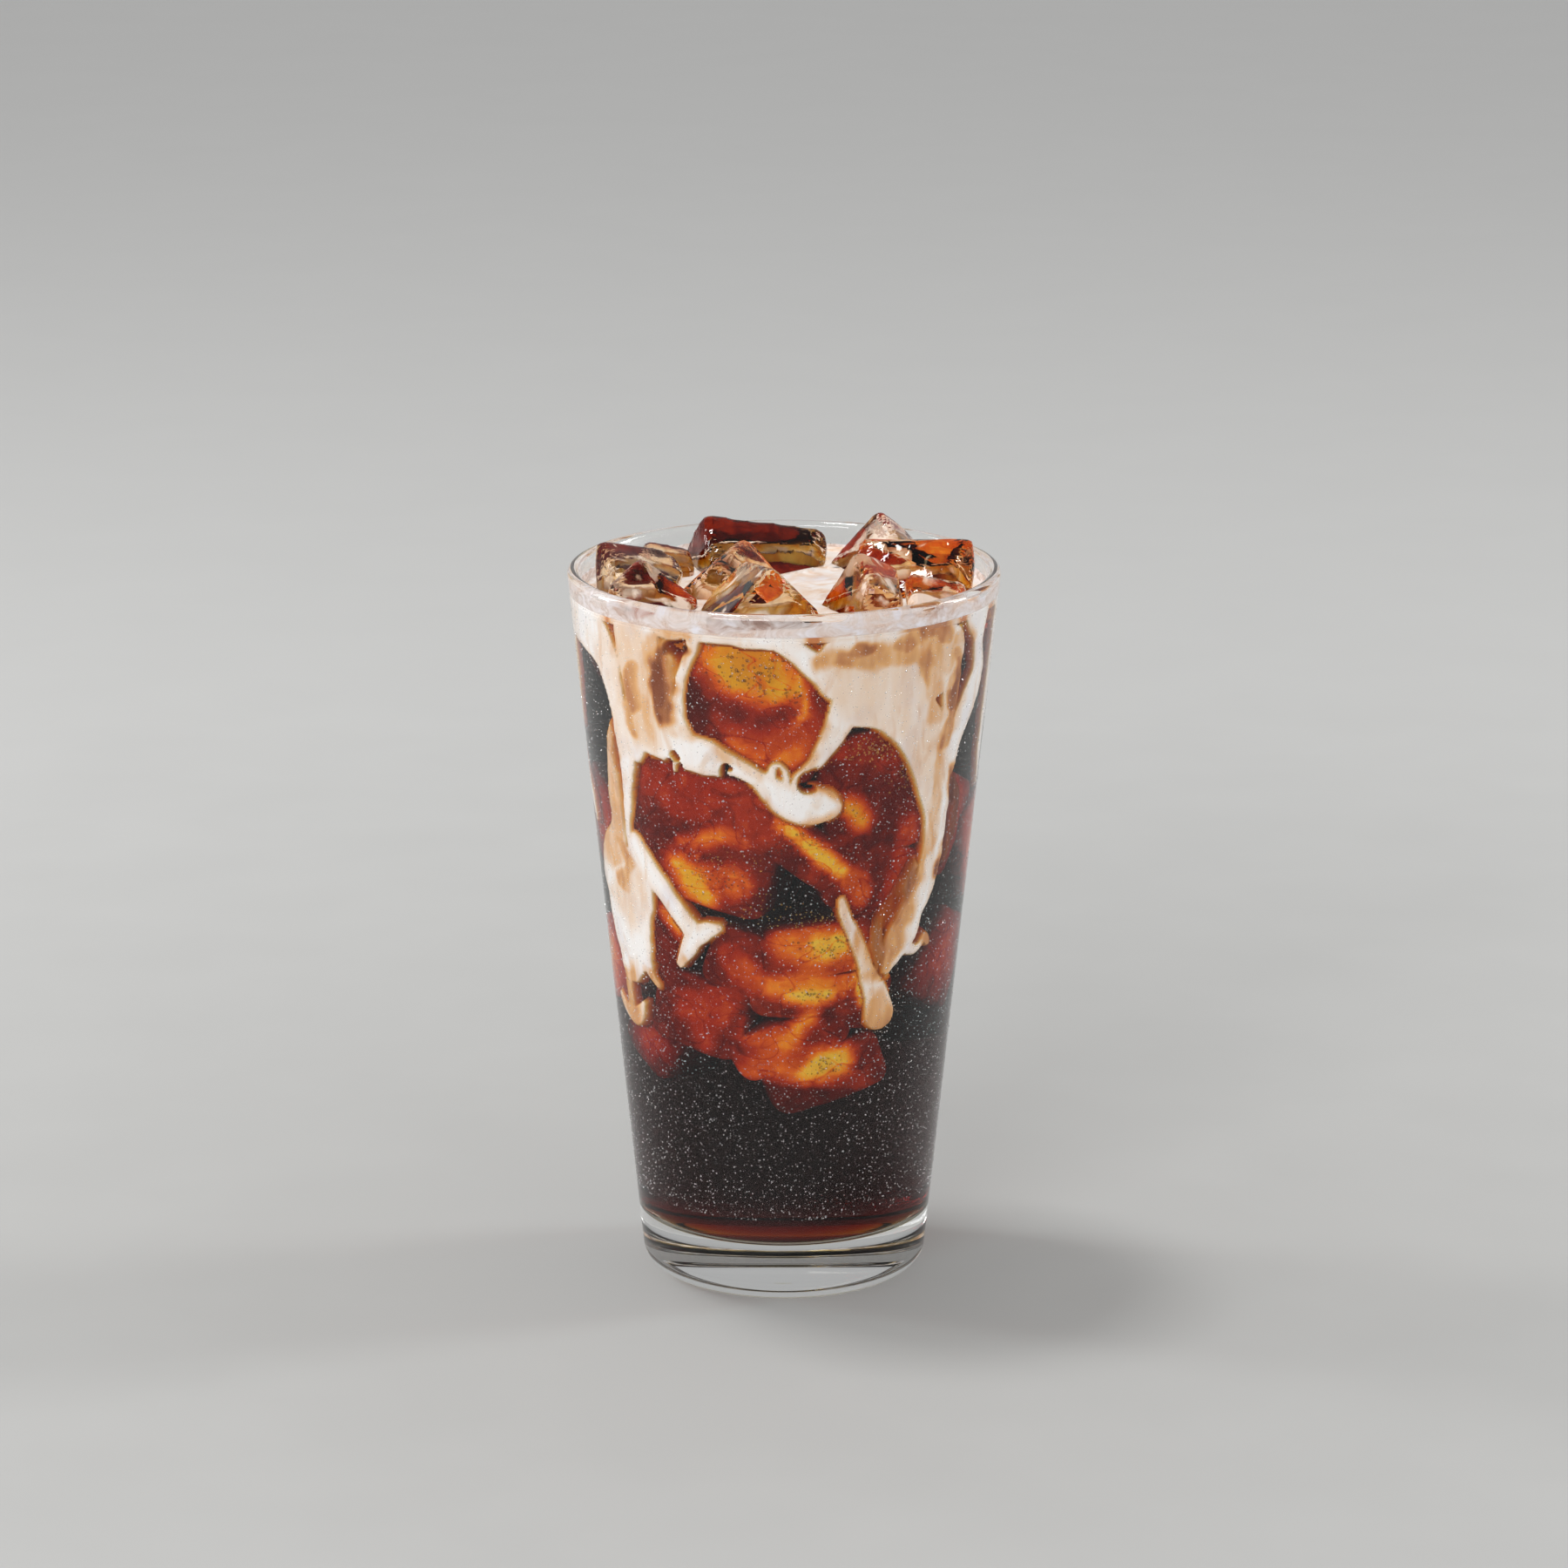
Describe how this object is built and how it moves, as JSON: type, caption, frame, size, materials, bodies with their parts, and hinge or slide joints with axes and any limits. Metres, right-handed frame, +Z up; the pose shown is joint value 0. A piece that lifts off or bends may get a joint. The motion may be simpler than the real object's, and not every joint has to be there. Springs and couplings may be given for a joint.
{
  "type": "iced coffee with sweet cream in a pint glass",
  "caption": "Cold brewed coffee over ice in a tapered pint glass, with sweet cream floating on top and sinking in streams down the inside of the wall.",
  "frame": {"origin": "middle of the glass's foot, on the surface it stands on", "axes": "+Z up along the glass's axis, -Y the front of the drink"},
  "size_m": [0.089, 0.0889, 0.1565],
  "materials": {
    "glass": "clear, polished, dewed outside",
    "coffee": "dark clear liquid, red brown at thin edges",
    "cream": "soft, opaque, tan where it thins",
    "ice": "clear, wet, rounded by melting"
  },
  "bodies": {
    "root": {"glass": "glass", "coffee": "coffee", "cream": "cream", "ice_front_middle": "ice", "ice_middle": "ice", "ice_back_left": "ice", "ice_back_right": "ice", "ice_right": "ice", "ice_front_right": "ice", "ice_small_right": "ice", "ice_front_left": "ice", "ice_left": "ice", "ice_small_left": "ice"}
  },
  "joints": []
}
